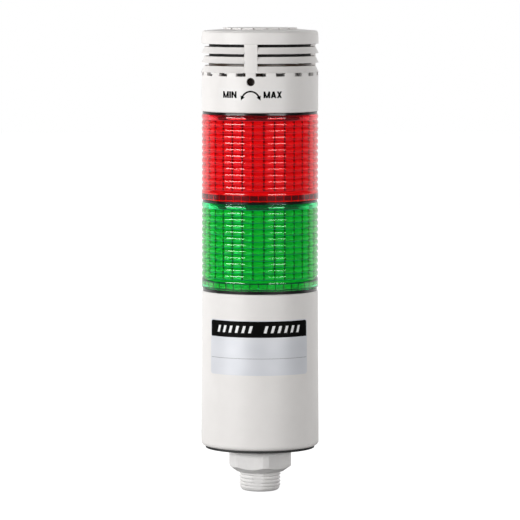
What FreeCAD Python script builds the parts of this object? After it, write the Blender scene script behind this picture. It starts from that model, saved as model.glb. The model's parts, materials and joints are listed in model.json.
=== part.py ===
import FreeCAD, Part
import math
import os
import Sketcher

Vector = FreeCAD.Vector
UP = Vector(0, 0, 1)

# Driving sizes in millimetres and degrees.
# Height zero is the panel's face, where the gasket rests; the front is towards -Y.
SIZES = {
    # Mounting end
    "nipple_radius": 10.65,
    "nipple_wall": 3.45,
    "nipple_reach": 22.4,
    "nipple_lead": 3.4,
    "nipple_tip_step": 2.35,
    "nipple_flange_reach": 4.35,
    "nipple_flange_thickness": 3.0,
    "nut_wall": 4.35,
    "nut_corner_rise": 1.5,
    "nut_height": 12.3,
    "nut_taper_height": 3.0,
    "nut_taper_run": 2.8,
    "nut_turn": 12.4,
    "gasket_inset": 2.25,
    "gasket_thickness": 1.2,
    # Fits
    "thread_clearance": 0.05,
    "pivot_clearance": 0.05,
    "seat_gap": 0.05,
    "turn_gap": 0.2,
    "body_clearance": 0.3,
    "over_cut": 1.0,
    "edge_rounding": 0.7,
    # The tower's radius and wall, which every tier follows
    "lens_radius": 30.0,
    "lens_wall": 2.7,
    # Base
    "base_height": 80.2,
    "base_inset": 0.15,
    "base_draft": 0.5,
    "base_fit": 0.35,
    "base_floor": 4.0,
    "base_edge_radius": 2.2,
    "terminal_width": 30.0,
    "terminal_depth": 11.0,
    "terminal_height": 13.0,
    "terminal_screw_radius": 1.9,
    "terminal_screw_sink": 1.0,
    "terminal_screw_height": 2.0,
    # Bayonet joint between two tiers
    "rim_inset": 0.5,
    "base_rim": 1.5,
    "tier_rim": 1.05,
    "skirt_fit": 0.4,
    "skirt_wall": 1.7,
    "skirt_depth": 3.0,
    "collar_wall": 1.7,
    "lug_reach": 1.6,
    "lug_height": 2.0,
    "lug_angle": 24.0,
    "twist_angle": 18.0,
    "stop_angle": 4.0,
    "stop_height": 3.0,
    "stop_clear_angle": 1.0,
    "plate_thickness": 1.6,
    "plate_rim": 3.2,
    "plate_rim_wall": 1.7,
    "board_seat": 0.6,
    "pin_radius": 0.8,
    "pin_circle": 14.0,
    "pin_head": 2.0,
    # Light module
    "lens_height": 44.0,
    "lens_band": 5.5,
    "bead_first": 1.35,
    "bead_depth": 0.6,
    "flute_depth": 0.5,
    "flute_width": 4.4,
    "flute_lead": 0.5,
    "key_width": 5.0,
    "post_flats": 18.0,
    "post_wall": 1.6,
    "strip_width": 8.0,
    "strip_thickness": 1.0,
    "strip_margin": 3.0,
    "led_width": 3.5,
    "led_height": 2.8,
    "led_thickness": 0.8,
    "board_thickness": 1.6,
    # Sounder head
    "head_turn": -7.5,
    "head_inset": 0.1,
    "head_wall": 2.0,
    "head_height": 18.5,
    "window_height": 1.7,
    "window_angle": 10.0,
    "louvre_pitch": 4.83,
    "slot_height": 1.5,
    "lip_reach": 0.15,
    "louvre_lean": 1.75,
    "cap_wall": 1.8,
    "cap_band": 6.6,
    "cap_draft": 0.35,
    "cap_edge": 0.8,
    "cap_top": 1.6,
    "dome_rise": 0.8,
    "disc_inset": 10.8,
    "disc_rise": 0.7,
    "notch_width": 1.0,
    "notch_length": 1.2,
    "pillar_width": 6.8,
    "pillar_inset": 0.65,
    "volume_hole_radius": 2.1,
    "volume_drop": 2.7,
    "sounder_board_rise": 2.8,
    "sounder_foot_radius": 15.0,
    "sounder_foot": 2.2,
    "sounder_gap": 0.5,
    "sounder_height": 10.4,
    "sounder_port": 3.0,
    "sounder_port_depth": 2.0,
    "boss_radius": 2.8,
    "boss_inset": 4.0,
    "boss_start": 6.0,
    "boss_web": 2.4,
    "screw_radius": 1.25,
    "screw_length": 7.0,
    "screw_end_gap": 1.0,
    "screw_head_radius": 2.5,
    "screw_head_height": 1.7,
    "trimmer_size": 9.6,
    "trimmer_depth": 5.0,
    "trimmer_inset": 4.3,
    "trimmer_leg": 0.7,
    "trimmer_leg_inset": 1.92,
    "rotor_radius": 3.0,
    "rotor_thickness": 1.0,
    "rotor_nose_radius": 1.7,
    "rotor_nose": 1.2,
    "rotor_shaft_radius": 1.5,
    "rotor_shaft": 2.5,
    "rotor_slot_width": 0.7,
    "rotor_slot_depth": 0.6,
}

# How often each form repeats.
BEADS = 12
NUT_SIDES = 6
FLUTES = 32
LUGS = 3
PINS = 4
POST_SIDES = 6
LEDS_PER_STRIP = 3
TERMINALS = 5
WINDOWS = 18
LOUVRES = 3
PILLARS = 3
DISC_NOTCHES = 18
BOARD_SCREWS = 3

FULL_TURN = 360.0
FRONT = -90.0
BACK = 90.0


class Size:
    """A number in millimetres or degrees, with the formula that ties it to the sheet."""

    def __init__(self, number, formula=None):
        self.number = float(number)
        self.formula = formula or repr(float(number))

    def combine(self, other, sign, number):
        return Size(number, "(%s %s %s)" % (self.formula, sign, other.formula))

    def __add__(self, other):
        other = as_size(other)
        return self.combine(other, "+", self.number + other.number)

    def __sub__(self, other):
        other = as_size(other)
        return self.combine(other, "-", self.number - other.number)

    def __mul__(self, other):
        other = as_size(other)
        return self.combine(other, "*", self.number * other.number)

    def __truediv__(self, other):
        other = as_size(other)
        return self.combine(other, "/", self.number / other.number)

    def __neg__(self):
        return self * -1


def as_size(value):
    return value if isinstance(value, Size) else Size(value)


document = FreeCAD.newDocument("stack_light")
sheet = document.addObject("Spreadsheet::Sheet", "Sizes")
for row, (name, value) in enumerate(SIZES.items(), start=1):
    sheet.set("A%d" % row, name)
    sheet.set("B%d" % row, str(value))
    sheet.setAlias("B%d" % row, name)
document.recompute()


def size(name):
    return Size(sheet.get(name), "Sizes.%s" % name)


def bind(thing, prop, value):
    """Give a property its number and tie it to the sheet."""
    thing.setExpression(prop, as_size(value).formula)


def new_body(label):
    body = document.addObject("PartDesign::Body", label)
    body.Label = label
    return body


def origin_plane(body, role):
    for feature in body.Origin.OriginFeatures:
        if feature.Role == role:
            return feature
    raise ValueError("no plane " + role)


def new_sketch(body, role, name, lift=None, turn=None):
    """A sketch on one of the body's own planes, lifted along its normal or turned about the body's axis."""
    sketch = body.newObject("Sketcher::SketchObject", name)
    sketch.AttachmentSupport = (origin_plane(body, role), [""])
    sketch.MapMode = "FlatFace"
    if lift is not None:
        sketch.AttachmentOffset = FreeCAD.Placement(Vector(0, 0, as_size(lift).number), FreeCAD.Rotation())
        bind(sketch, "AttachmentOffset.Base.z", lift)
    if turn is not None:
        axis = UP if role == "XY_Plane" else Vector(0, 1, 0)
        turned = FreeCAD.Rotation(axis, as_size(turn).number or FULL_TURN)
        sketch.AttachmentOffset = FreeCAD.Placement(Vector(), turned)
        bind(sketch, "AttachmentOffset.Rotation.Angle", turn)
    return sketch


def constrain(sketch, kind, where, value):
    value = as_size(value)
    index = sketch.addConstraint(Sketcher.Constraint(kind, *where, value.number))
    bind(sketch, "Constraints[%d]" % index, value)


def draw_polygon(sketch, points):
    """A closed outline of straight lines through (x, y) points, each tied to the sheet."""
    first = sketch.GeometryCount
    count = len(points)
    points = [(as_size(x), as_size(y)) for x, y in points]
    for i, (x, y) in enumerate(points):
        x_next, y_next = points[(i + 1) % count]
        start = Vector(x.number, y.number, 0)
        end = Vector(x_next.number, y_next.number, 0)
        sketch.addGeometry(Part.LineSegment(start, end))
    for i in range(count):
        follower = first + (i + 1) % count
        sketch.addConstraint(Sketcher.Constraint("Coincident", first + i, 2, follower, 1))
    for i, (x, y) in enumerate(points):
        constrain(sketch, "DistanceX", (-1, 1, first + i, 1), x)
        constrain(sketch, "DistanceY", (-1, 1, first + i, 1), y)


def draw_circle(sketch, radius, x=0, y=0):
    x, y, radius = as_size(x), as_size(y), as_size(radius)
    centre = Vector(x.number, y.number, 0)
    index = sketch.addGeometry(Part.Circle(centre, UP, radius.number))
    constrain(sketch, "DistanceX", (-1, 1, index, 3), x)
    constrain(sketch, "DistanceY", (-1, 1, index, 3), y)
    constrain(sketch, "Radius", (index,), radius)


def rectangle(left, right, low, high):
    return [(left, low), (right, low), (right, high), (left, high)]


def feature(body, kind, sketch, name):
    made = body.newObject("PartDesign::" + kind, name)
    made.Profile = sketch
    return made


def spin(body, name, points, kind="Revolution", wide=None, middle=None):
    """Turn an outline of (radius, height) points about the body's axis, all round or over an angle."""
    sketch = new_sketch(body, "XZ_Plane", name + "_outline", turn=middle)
    draw_polygon(sketch, points)
    made = feature(body, kind, sketch, name)
    made.ReferenceAxis = (sketch, ["V_Axis"])
    made.Angle = FULL_TURN
    if wide is not None:
        made.Midplane = True
        bind(made, "Angle", wide)
    return made


def groove(body, name, points, wide=None, middle=None):
    return spin(body, name, points, "Groove", wide, middle)


def extrude(body, sketch, name, length, kind="Pad", reverse=False, both_ways=False):
    made = feature(body, kind, sketch, name)
    made.Length = as_size(length).number
    made.Reversed = reverse
    made.Midplane = both_ways
    bind(made, "Length", length)
    return made


def repeat(body, name, made, count):
    """Repeat a feature all round the body's axis."""
    pattern = body.newObject("PartDesign::PolarPattern", name)
    pattern.Originals = [made]
    pattern.Axis = (origin_plane(body, "Z_Axis"), [""])
    pattern.Angle = FULL_TURN
    pattern.Occurrences = count
    body.Tip = pattern
    return pattern


def place(thing, x=0, y=0, z=0, axis=UP, turn=0.0):
    """Stand a primitive at a point that is tied to the sheet, turned about an axis through it."""
    thing.Placement = FreeCAD.Placement(Vector(), FreeCAD.Rotation(axis, turn))
    for letter, value in (("x", x), ("y", y), ("z", z)):
        bind(thing, "Placement.Base." + letter, value)


def new_box(name, length, width, height):
    box = document.addObject("Part::Box", name)
    for prop, value in (("Length", length), ("Width", width), ("Height", height)):
        bind(box, prop, value)
    return box


def new_cylinder(name, radius, height):
    cylinder = document.addObject("Part::Cylinder", name)
    bind(cylinder, "Radius", radius)
    bind(cylinder, "Height", height)
    return cylinder


def group(label, members):
    """Separate like pieces that share one node."""
    made = document.addObject("Part::Compound", label)
    made.Label = label
    made.Links = members
    return made


def at_angle(radius, angle):
    """The x and y of a point at a radius and an angle in degrees from +X."""
    radians = math.radians(angle)
    return radius * math.cos(radians), radius * math.sin(radians)


# Heights of the parts that stand on each other.
base_low = size("gasket_thickness")
base_top = base_low + size("base_height")
green_low = base_top + size("base_rim") + size("turn_gap")
green_top = green_low + size("lens_height")
red_low = green_top + size("tier_rim") + size("turn_gap")
red_top = red_low + size("lens_height")
head_low = red_top + size("tier_rim") + size("turn_gap")
cap_low = head_low + size("head_height") + size("window_height")
board_low = cap_low + size("sounder_board_rise")
volume_axis = head_low + size("head_height") - size("volume_drop")
over = size("over_cut")

# Radii that follow from the tower's radius, from outside to inside.
lens_bore = size("lens_radius") - size("lens_wall")
base_top_radius = size("lens_radius") - size("base_inset")
base_foot_radius = base_top_radius + size("base_draft")
rim_radius = size("lens_radius") - size("rim_inset")
skirt_radius = lens_bore - size("skirt_fit")
skirt_inside = skirt_radius - size("skirt_wall")
lug_radius = skirt_inside - size("body_clearance")
socket_radius = skirt_inside - size("lug_reach")
collar_radius = socket_radius - size("body_clearance")
head_radius = size("lens_radius") - size("head_inset")
head_bore = head_radius - size("head_wall")
lip_radius = size("lens_radius") + size("lip_reach")
slope_radius = lip_radius - size("louvre_lean")
cap_bore = slope_radius - size("cap_wall")
boss_circle = cap_bore - size("boss_inset")
trimmer_front = head_bore - size("trimmer_inset")
nut_bore = size("nipple_radius") + size("thread_clearance")
nut_flats = size("nipple_radius") * 2 + size("nut_wall") * 2

nodes = []


def threaded_nipple():
    """The mounting tube, with a flange that sits on the base's floor."""
    body = new_body("threaded_nipple")
    outside = size("nipple_radius")
    bore = outside - size("nipple_wall")
    flange = outside + size("nipple_flange_reach")
    floor_top = base_low + size("base_floor")
    top = floor_top + size("nipple_flange_thickness")
    tip = -size("nipple_reach")
    spin(body, "tube", [
        (bore, tip),
        (outside - size("nipple_tip_step"), tip),
        (outside, tip + size("nipple_lead")),
        (outside, floor_top),
        (flange, floor_top),
        (flange, top),
        (bore, top),
    ])
    return body


def turned(made, angle):
    """The piece turned about the tower's axis by a named angle."""
    made.Placement = FreeCAD.Placement(Vector(), FreeCAD.Rotation(UP, size(angle).number))
    bind(made, "Placement.Rotation.Angle", size(angle))
    return made


def mounting_nut():
    """A hexagonal nut with trimmed corners, tapered at the end that faces down."""
    body = new_body("mounting_nut")
    top = -size("seat_gap") * 2
    low = top - size("nut_height")
    sketch = new_sketch(body, "XY_Plane", "hexagon", lift=low)
    corner = nut_flats / (2 * math.cos(math.pi / NUT_SIDES))
    sides = [at_angle(1, FRONT + FULL_TURN / NUT_SIDES * k) for k in range(NUT_SIDES)]
    draw_polygon(sketch, [(corner * x, corner * y) for x, y in sides])
    extrude(body, sketch, "hexagon_pad", size("nut_height"))
    groove(body, "bore", rectangle(Size(0), nut_bore, low - over, top + over))
    trim = nut_flats / 2 + size("nut_corner_rise")
    tip = nut_flats / 2 - size("nut_taper_run")
    groove(body, "corners", [
        (trim, top + over),
        (trim, low + size("nut_taper_height")),
        (tip, low),
        (tip, low - over),
        (corner + over, low - over),
        (corner + over, top + over),
    ])
    return turned(body, "nut_turn")


def mounting_gasket():
    body = new_body("mounting_gasket")
    bore = size("nipple_radius") + size("body_clearance")
    top = base_low - size("seat_gap")
    outside = base_foot_radius - size("gasket_inset")
    spin(body, "ring", rectangle(bore, outside, Size(0), top))
    return body


def base_housing():
    """A tall cup with a slight draft, a rounded foot and a hole for the nipple."""
    body = new_body("base_housing")
    bore = skirt_radius + size("base_fit")
    hole = size("nipple_radius") + size("thread_clearance")
    floor_top = base_low + size("base_floor")
    shell = spin(body, "shell", [
        (hole, base_low),
        (base_foot_radius, base_low),
        (base_top_radius, base_top),
        (bore, base_top),
        (bore, floor_top),
        (hole, floor_top),
    ])
    foot = round_edge(body, shell, "foot_rounding", base_foot_radius, base_low, size("base_edge_radius"))
    round_edge(body, foot, "top_rounding", base_top_radius, base_top, size("edge_rounding"))
    return body


def round_edge(body, made, name, radius, height, rounding):
    """Round the circular edge that lies at a radius and a height."""
    document.recompute()
    rounded = body.newObject("PartDesign::Fillet", name)
    rounded.Base = (made, circle_edges(made.Shape, radius.number, height.number))
    bind(rounded, "Radius", rounding)
    return rounded


def circle_edges(shape, radius, height):
    """Names of the edges that lie on the circle of a radius at a height."""
    found = []
    for index, edge in enumerate(shape.Edges, start=1):
        middle = edge.valueAt((edge.FirstParameter + edge.LastParameter) / 2)
        off = abs(math.hypot(middle.x, middle.y) - radius) + abs(middle.z - height)
        if off < 0.01:
            found.append("Edge%d" % index)
    return found


def socket_ring(label, low, rim):
    """The rim on top of a tier, with a skirt inside it and bayonet slots for the tier above."""
    body = new_body(label)
    high = low + rim
    deep = low - size("skirt_depth")
    mouth = socket_radius
    spin(body, "ring", [
        (mouth, low),
        (skirt_inside, low),
        (skirt_inside, deep),
        (skirt_radius, deep),
        (skirt_radius, low),
        (rim_radius, low),
        (rim_radius, high),
        (mouth, high),
    ])
    notch_points = rectangle(mouth - over, skirt_inside, low - over, high + over)
    notch_width = size("lug_angle") + size("stop_clear_angle") * 2
    notch = groove(body, "notch", notch_points, notch_width, size("twist_angle"))
    repeat(body, "notches", notch, LUGS)
    rib_points = rectangle(mouth, skirt_inside, low - size("stop_height"), low)
    half_way = size("lug_angle") / 2 + size("stop_clear_angle") + size("stop_angle") / 2
    for name, middle in (("lock_stop", -half_way), ("open_stop", size("twist_angle") + half_way)):
        rib = spin(body, name, rib_points, wide=size("stop_angle"), middle=middle)
        repeat(body, name + "s", rib, LUGS)
    return body


def twist_collar(label, low, rim_below):
    """The rimmed plate at the bottom of a tier, with the lugged collar that turns in the socket below."""
    body = new_body(label)
    high = low + size("plate_thickness")
    inside = collar_radius - size("collar_wall")
    lug_top = low - size("turn_gap") * 2 - rim_below
    lug_low = lug_top - size("lug_height")
    plate_radius = lens_bore - size("body_clearance")
    spin(body, "plate", [
        (Size(0), low),
        (inside, low),
        (inside, lug_low),
        (collar_radius, lug_low),
        (collar_radius, low),
        (plate_radius, low),
        (plate_radius, low + size("plate_rim")),
        (plate_radius - size("plate_rim_wall"), low + size("plate_rim")),
        (plate_radius - size("plate_rim_wall"), high),
        (Size(0), high),
    ])
    lug = spin(body, "lug", rectangle(inside, lug_radius, lug_low, lug_top), wide=size("lug_angle"))
    repeat(body, "lugs", lug, LUGS)
    sketch = new_sketch(body, "XY_Plane", "pin_holes_outline", lift=high)
    for k in range(PINS):
        x, y = at_angle(1, FULL_TURN / PINS * (k + 0.5))
        hole = size("pin_radius") + size("pivot_clearance")
        draw_circle(sketch, hole, size("pin_circle") * x, size("pin_circle") * y)
    extrude(body, sketch, "pin_holes", size("plate_thickness") + over, "Pocket")
    return body


def contact_pins(label, low, board_top):
    """Spring pins that stand in the plate and reach down to the board of the tier below."""
    foot = board_top + size("turn_gap")
    top = low + size("plate_thickness") + size("pin_head")
    pins = []
    for k in range(PINS):
        pin = new_cylinder("%s_%d" % (label, k + 1), size("pin_radius"), top - foot)
        x, y = at_angle(1, FULL_TURN / PINS * (k + 0.5))
        place(pin, size("pin_circle") * x, size("pin_circle") * y, foot)
        pins.append(pin)
    return group(label, pins)


def contact_board(label, top):
    """A round board seated under the skirt of a socket ring."""
    board = new_cylinder(label, skirt_inside + size("board_seat"), size("board_thickness"))
    place(board, z=top - size("board_thickness"))
    board.Label = label
    return board


def lens(label, low):
    """A tube with beads outside, upright flutes inside and a plain band at the bottom."""
    body = new_body(label)
    high = low + size("lens_height")
    crest = size("lens_radius")
    valley = crest - size("bead_depth")
    bore = lens_bore
    first = high - size("bead_first")
    band_top = low + size("lens_band")
    pitch = (first - band_top) / (BEADS - 0.5)
    points = [(bore, low), (crest, low), (crest, band_top), (valley, band_top)]
    for k in reversed(range(BEADS)):
        points.append((crest, first - pitch * k))
        if k:
            points.append((valley, first - pitch * (k - 0.5)))
    top_radius = crest - size("bead_depth") * (size("bead_first") / (pitch / 2))
    points.append((top_radius, high))
    points.append((bore, high))
    spin(body, "tube", points)
    flute = new_sketch(body, "XY_Plane", "flute_outline", lift=high)
    half = size("flute_width") / 2
    draw_polygon(flute, [
        (-half, -(bore - size("flute_lead"))),
        (half, -(bore - size("flute_lead"))),
        (Size(0), -(bore + size("flute_depth"))),
    ])
    cut = extrude(body, flute, "flute", high - band_top, "Pocket")
    repeat(body, "flutes", cut, FLUTES)
    key = new_sketch(body, "XY_Plane", "key_outline", lift=high)
    half = size("key_width") / 2
    deep = bore + size("flute_depth")
    draw_polygon(key, rectangle(-half, half, -deep, -(bore - over)))
    extrude(body, key, "key", high - band_top, "Pocket")
    return body


def led_post(label, low, high):
    """A hexagonal tube that carries the strips and leads the wires to the tiers above."""
    body = new_body(label)
    sketch = new_sketch(body, "XY_Plane", "hexagon", lift=low)
    for across in (size("post_flats"), size("post_flats") - size("post_wall") * 2):
        corner = across / (2 * math.cos(math.pi / POST_SIDES))
        corners = [at_angle(1, FRONT + FULL_TURN / POST_SIDES * (k + 0.5)) for k in range(POST_SIDES)]
        draw_polygon(sketch, [(corner * x, corner * y) for x, y in corners])
    extrude(body, sketch, "hexagon_pad", high - low)
    return body


def on_each_side(label, width, depth, height, front, lows):
    """Boxes flat on each side of the post, at the given heights, with their fronts at a distance."""
    boxes = []
    for side in range(POST_SIDES):
        turn = FULL_TURN / POST_SIDES * side
        out_x, out_y = at_angle(1, FRONT + turn)
        for low in lows:
            box = new_box("%s_%d" % (label, len(boxes) + 1), width, depth, height)
            corner_x = front * out_x + width / 2 * out_y
            corner_y = front * out_y - width / 2 * out_x
            place(box, corner_x, corner_y, low, turn=turn)
            boxes.append(box)
    return group(label, boxes)


def module(colour, low, high, rim_below, socket_board_top):
    """One light module between two bayonet joints."""
    plate_top = low + size("plate_thickness")
    board_top = high - size("skirt_depth")
    board_under = board_top - size("board_thickness")
    nodes.append(lens(colour + "_lens", low))
    nodes.append(twist_collar(colour + "_twist_collar", low, rim_below))
    nodes.append(contact_pins(colour + "_contact_pins", low, socket_board_top))
    nodes.append(led_post(colour + "_led_post", plate_top, board_under))
    strip_low = plate_top + size("strip_margin")
    strip_height = board_under - plate_top - size("strip_margin") * 2
    strip_off = size("post_flats") / 2 + size("strip_thickness")
    nodes.append(on_each_side(
        colour + "_led_strips", size("strip_width"), size("strip_thickness"), strip_height,
        strip_off, [strip_low],
    ))
    step = strip_height / LEDS_PER_STRIP
    led_lows = [strip_low + step * (k + 0.5) - size("led_height") / 2 for k in range(LEDS_PER_STRIP)]
    nodes.append(on_each_side(
        colour + "_leds", size("led_width"), size("led_thickness"), size("led_height"),
        strip_off + size("led_thickness"), led_lows,
    ))
    nodes.append(contact_board(colour + "_contact_board", board_top))
    nodes.append(socket_ring(colour + "_socket_ring", high, size("tier_rim")))


def terminal_block(under):
    """The wire terminals that hang from the base's board, with sunk screws on the front."""
    body = new_body("terminal_block")
    width, depth = size("terminal_width"), size("terminal_depth")
    low = under - size("terminal_height")
    sketch = new_sketch(body, "XY_Plane", "block_outline", lift=low)
    draw_polygon(sketch, rectangle(-(width / 2), width / 2, -(depth / 2), depth / 2))
    extrude(body, sketch, "block", size("terminal_height"))
    wells = new_sketch(body, "XZ_Plane", "well_outline", lift=depth / 2)
    radius = size("terminal_screw_radius") + size("pivot_clearance")
    for k in range(TERMINALS):
        draw_circle(wells, radius, terminal_place(k), low + size("terminal_height") / 2)
    sink = size("terminal_screw_sink") + size("terminal_screw_height")
    extrude(body, wells, "wells", sink, "Pocket")
    return body


def terminal_place(k):
    """How far a terminal's screw lies from the block's middle."""
    return size("terminal_width") / TERMINALS * (k - (TERMINALS - 1) / 2)


def terminal_screws(under):
    screws = []
    height = size("terminal_screw_height")
    back = size("terminal_screw_sink") + height - size("terminal_depth") / 2
    middle = under - size("terminal_height") / 2
    for k in range(TERMINALS):
        screw = new_cylinder("terminal_screw_%d" % (k + 1), size("terminal_screw_radius"), height)
        place(screw, terminal_place(k), back, middle, axis=Vector(1, 0, 0), turn=90)
        screws.append(screw)
    return group("terminal_screws", screws)


def head_housing():
    """The lower cup of the head: open below, with a row of windows at the top and screw bosses inside."""
    body = new_body("head_housing")
    outside, wall = head_radius, size("head_wall")
    high = cap_low
    wall_ring = spin(body, "wall", rectangle(head_bore, outside, head_low, high))
    round_edge(body, wall_ring, "low_rounding", outside, head_low, size("edge_rounding"))
    window_low = high - size("window_height")
    window = groove(
        body, "window", rectangle(head_bore - over, outside + over, window_low, high + over),
        size("window_angle"), Size(FRONT + FULL_TURN / WINDOWS / 2),
    )
    repeat(body, "windows", window, WINDOWS)
    boss_low = head_low + size("boss_start")
    web = new_sketch(body, "XY_Plane", "web_outline", lift=boss_low)
    half = size("boss_web") / 2
    draw_polygon(web, rectangle(-half, half, boss_circle, outside - wall / 2))
    made = extrude(body, web, "web", window_low - boss_low)
    repeat(body, "webs", made, BOARD_SCREWS)
    boss = new_sketch(body, "XY_Plane", "boss_outline", lift=boss_low)
    draw_circle(boss, size("boss_radius"), 0, boss_circle)
    made = extrude(body, boss, "boss", board_low - boss_low)
    repeat(body, "bosses", made, BOARD_SCREWS)
    hole = new_sketch(body, "XY_Plane", "screw_hole_outline", lift=board_low)
    draw_circle(hole, size("screw_radius") + size("pivot_clearance"), 0, boss_circle)
    drilled = extrude(body, hole, "screw_hole", size("screw_length") + size("screw_end_gap"), "Pocket")
    repeat(body, "screw_holes", drilled, BOARD_SCREWS)
    volume = new_sketch(body, "XZ_Plane", "volume_hole_outline", lift=outside + over)
    draw_circle(volume, size("volume_hole_radius"), 0, volume_axis)
    extrude(body, volume, "volume_hole", wall + over * 2, "Pocket")
    return body


def louvre_cap():
    """The cap: sloping rings that shed water over open slots, carried by pillars under a closed top."""
    body = new_body("louvre_cap")
    bore, lip, slope = cap_bore, lip_radius, slope_radius
    pitch, slot = size("louvre_pitch"), size("slot_height")
    band_low = cap_low + pitch * LOUVRES
    band_top = band_low + size("cap_band")
    outline = [(bore, cap_low)]
    for k in range(LOUVRES):
        ring_low = cap_low + pitch * k
        outline.append((lip, ring_low))
        outline.append((slope, ring_low + pitch - slot))
        outline.append((slope, ring_low + pitch))
    dome_top = band_top + size("dome_rise")
    disc_top = dome_top + size("disc_rise")
    ceiling = band_top - size("cap_top")
    brim = lip - size("cap_draft")
    disc = brim - size("disc_inset")
    outline += [
        (lip, band_low),
        (brim, band_top - size("cap_edge")),
        (brim - size("cap_edge"), band_top),
        (disc, dome_top),
        (disc, disc_top),
        (Size(0), disc_top),
        (Size(0), ceiling),
        (bore, ceiling),
    ]
    spin(body, "shell", outline)
    trimmed = lip - size("pillar_inset")
    half_angle = size("pillar_width") / 2 / trimmed * math.degrees(1)
    for k in range(PILLARS):
        middle = Size(FRONT + FULL_TURN / PILLARS * k)
        between = Size(FRONT + FULL_TURN / PILLARS * (k + 0.5))
        fill = rectangle(bore, trimmed, cap_low, band_low)
        spin(body, "pillar_%d" % (k + 1), fill, wide=half_angle * 2, middle=middle)
        shave = rectangle(trimmed, lip + over, cap_low - over, band_low)
        groove(body, "pillar_face_%d" % (k + 1), shave, half_angle * 2, middle)
        for n in range(LOUVRES):
            slot_high = cap_low + pitch * (n + 1)
            opening = rectangle(bore - over, lip + over, slot_high - slot, slot_high)
            open_angle = Size(FULL_TURN / PILLARS) - half_angle * 2
            groove(body, "slot_%d_%d" % (k + 1, n + 1), opening, open_angle, between)
    notch = new_sketch(body, "XY_Plane", "notch_outline", lift=disc_top)
    half = size("notch_width") / 2
    draw_polygon(notch, rectangle(-half, half, -(disc + over), -(disc - size("notch_length"))))
    made = extrude(body, notch, "notch", size("disc_rise"), "Pocket")
    repeat(body, "notches", made, DISC_NOTCHES)
    return body


def sounder_board():
    """The round board whose edge shows through the lowest slot."""
    body = new_body("sounder_board")
    sketch = new_sketch(body, "XY_Plane", "board_outline", lift=board_low)
    draw_circle(sketch, cap_bore - size("body_clearance"))
    hole = size("screw_radius") + size("pivot_clearance")
    for k in range(BOARD_SCREWS):
        x, y = at_angle(1, BACK + FULL_TURN / BOARD_SCREWS * k)
        draw_circle(sketch, hole, boss_circle * x, boss_circle * y)
    extrude(body, sketch, "board", size("board_thickness"))
    return body


def sounder():
    """The sounder: a wide drum behind the slots on a narrow foot that clears the screws, its port on top."""
    body = new_body("sounder")
    low = board_low + size("board_thickness")
    high = low + size("sounder_height")
    drum_low = low + size("sounder_foot")
    foot, drum = size("sounder_foot_radius"), cap_bore - size("sounder_gap")
    spin(body, "drum", [
        (Size(0), low),
        (foot, low),
        (foot, drum_low),
        (drum, drum_low),
        (drum, high),
        (Size(0), high),
    ])
    port_low = high - size("sounder_port_depth")
    groove(body, "port", rectangle(Size(0), size("sounder_port"), port_low, high + over))
    return body


def board_screws():
    screws = []
    top = board_low + size("board_thickness")
    for k in range(BOARD_SCREWS):
        x, y = at_angle(1, BACK + FULL_TURN / BOARD_SCREWS * k)
        x, y = boss_circle * x, boss_circle * y
        shank_length = size("screw_length")
        shank = new_cylinder("board_screw_shank_%d" % (k + 1), size("screw_radius"), shank_length)
        place(shank, x, y, top - shank_length)
        cap = new_cylinder("board_screw_head_%d" % (k + 1), size("screw_head_radius"), size("screw_head_height"))
        place(cap, x, y, top)
        screw = document.addObject("Part::Fuse", "board_screw_%d" % (k + 1))
        screw.Base = shank
        screw.Tool = cap
        screws.append(screw)
    return group("board_screws", screws)


def trimmer_body():
    """The volume trimmer's case, on legs under the board, with a bore for its rotor."""
    body = new_body("volume_trimmer")
    middle = volume_axis
    half = size("trimmer_size") / 2
    front = trimmer_front
    case = new_sketch(body, "XZ_Plane", "case_outline", lift=front)
    draw_polygon(case, rectangle(-half, half, middle - half, middle + half))
    extrude(body, case, "case", size("trimmer_depth"), reverse=True)
    legs = new_sketch(body, "XY_Plane", "leg_outline", lift=middle + half)
    leg = size("trimmer_leg")
    y = -(front - size("trimmer_depth") / 2)
    aside = half - size("trimmer_leg_inset")
    for x in (-aside, aside):
        draw_polygon(legs, rectangle(x - leg / 2, x + leg / 2, y - leg / 2, y + leg / 2))
    extrude(body, legs, "legs", board_low - middle - half)
    bore = new_sketch(body, "XZ_Plane", "bore_outline", lift=front)
    draw_circle(bore, size("rotor_shaft_radius") + size("pivot_clearance"), 0, middle)
    extrude(body, bore, "bore", size("rotor_shaft") + size("body_clearance"), "Pocket")
    return body


def trimmer_rotor():
    """The slotted disc that a small screwdriver turns through the hole in the housing."""
    body = new_body("volume_screw")
    middle = volume_axis
    face = trimmer_front + size("turn_gap")
    disc_front = face + size("rotor_thickness")
    nose_front = disc_front + size("rotor_nose")
    steps = (
        ("shaft", face - size("turn_gap") - size("rotor_shaft"), size("rotor_shaft_radius"), face),
        ("disc", face, size("rotor_radius"), disc_front),
        ("nose", disc_front, size("rotor_nose_radius"), nose_front),
    )
    for name, start, radius, end in steps:
        sketch = new_sketch(body, "XZ_Plane", name + "_outline", lift=start)
        draw_circle(sketch, radius, 0, middle)
        extrude(body, sketch, name, end - start)
    slot = new_sketch(body, "XZ_Plane", "slot_outline", lift=nose_front)
    half, reach = size("rotor_slot_width") / 2, size("rotor_nose_radius") + over
    draw_polygon(slot, rectangle(-half, half, middle - reach, middle + reach))
    extrude(body, slot, "slot", size("rotor_slot_depth"), "Pocket")
    return body


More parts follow.
